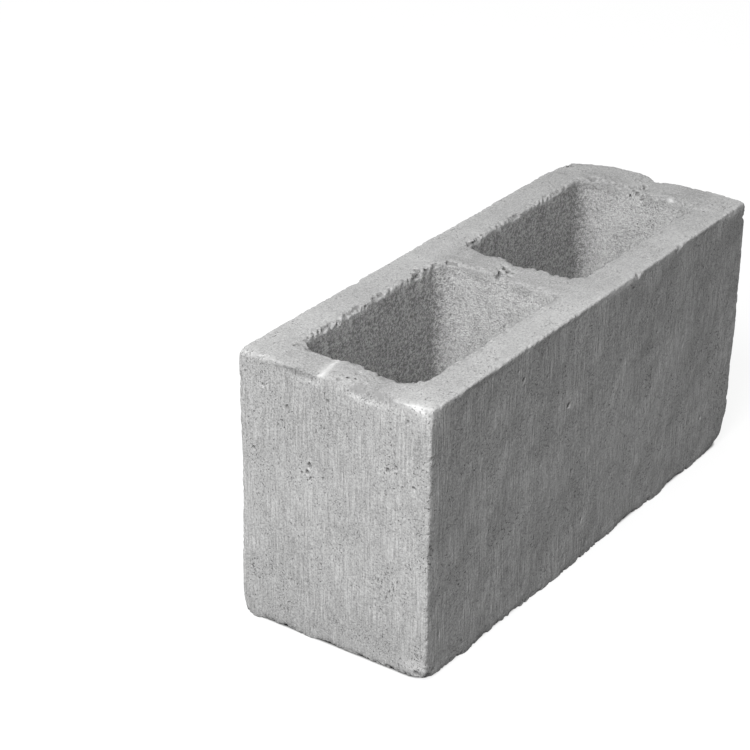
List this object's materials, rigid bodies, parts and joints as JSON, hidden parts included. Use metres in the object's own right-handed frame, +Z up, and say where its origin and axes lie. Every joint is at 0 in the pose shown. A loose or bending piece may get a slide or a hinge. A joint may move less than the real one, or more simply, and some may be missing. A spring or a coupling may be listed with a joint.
{
  "type": "hollow concrete block",
  "caption": "Grey hollow concrete wall block with open drafted cells, worn edges and a core-bar step across two of its web tops.",
  "frame": {"origin": "middle of the bottom bed face, so the block stands on Z = 0", "axes": "+X along the block, +Y across it, +Z up through the cells, towards the side they are widest on"},
  "size_m": [0.39, 0.14, 0.188],
  "materials": {
    "concrete": "matte"
  },
  "bodies": {
    "root": {"block": "concrete"}
  },
  "joints": []
}
